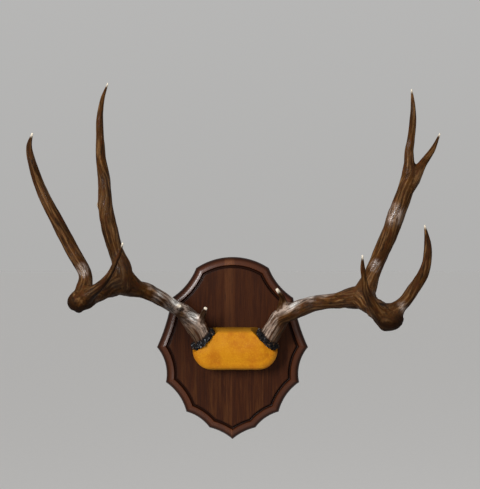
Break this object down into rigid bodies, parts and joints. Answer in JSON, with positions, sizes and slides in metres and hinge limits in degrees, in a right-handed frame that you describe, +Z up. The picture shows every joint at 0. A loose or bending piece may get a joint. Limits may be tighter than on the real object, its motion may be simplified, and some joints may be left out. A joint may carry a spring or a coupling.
{
  "type": "mounted deer antlers",
  "caption": "Pair of branching deer antlers on a leather-covered skull plate, fixed to a scalloped wooden wall shield with a keyhole hanger.",
  "frame": {"origin": "middle of the shield's back face, which lies on the wall", "axes": "+Y into the wall, square to the shield's back; +Z up as it hangs; +X to the viewer's right; the antlers stand out towards -Y"},
  "size_m": [0.632, 0.3189, 0.5779],
  "materials": {
    "walnut": "satin varnish",
    "leather": "brushed",
    "antler": "polished bone with a dark grooved rind",
    "plated_steel": "zinc plated"
  },
  "bodies": {
    "root": {"plaque": "walnut", "skull_cap": "leather", "left_beam": "antler", "left_rear_tine": "antler", "left_front_arm": "antler", "left_outer_front_tine": "antler", "left_inner_front_tine": "antler", "right_beam": "antler", "right_rear_stem": "antler", "right_rear_tine": "antler", "right_rear_side_tine": "antler", "right_front_arm": "antler", "right_outer_front_tine": "antler", "right_inner_front_tine": "antler", "skull_screw_left": "plated_steel", "skull_screw_right": "plated_steel", "hanger_plate": "plated_steel", "hanger_screw_lower": "plated_steel", "hanger_screw_upper": "plated_steel"}
  },
  "joints": []
}
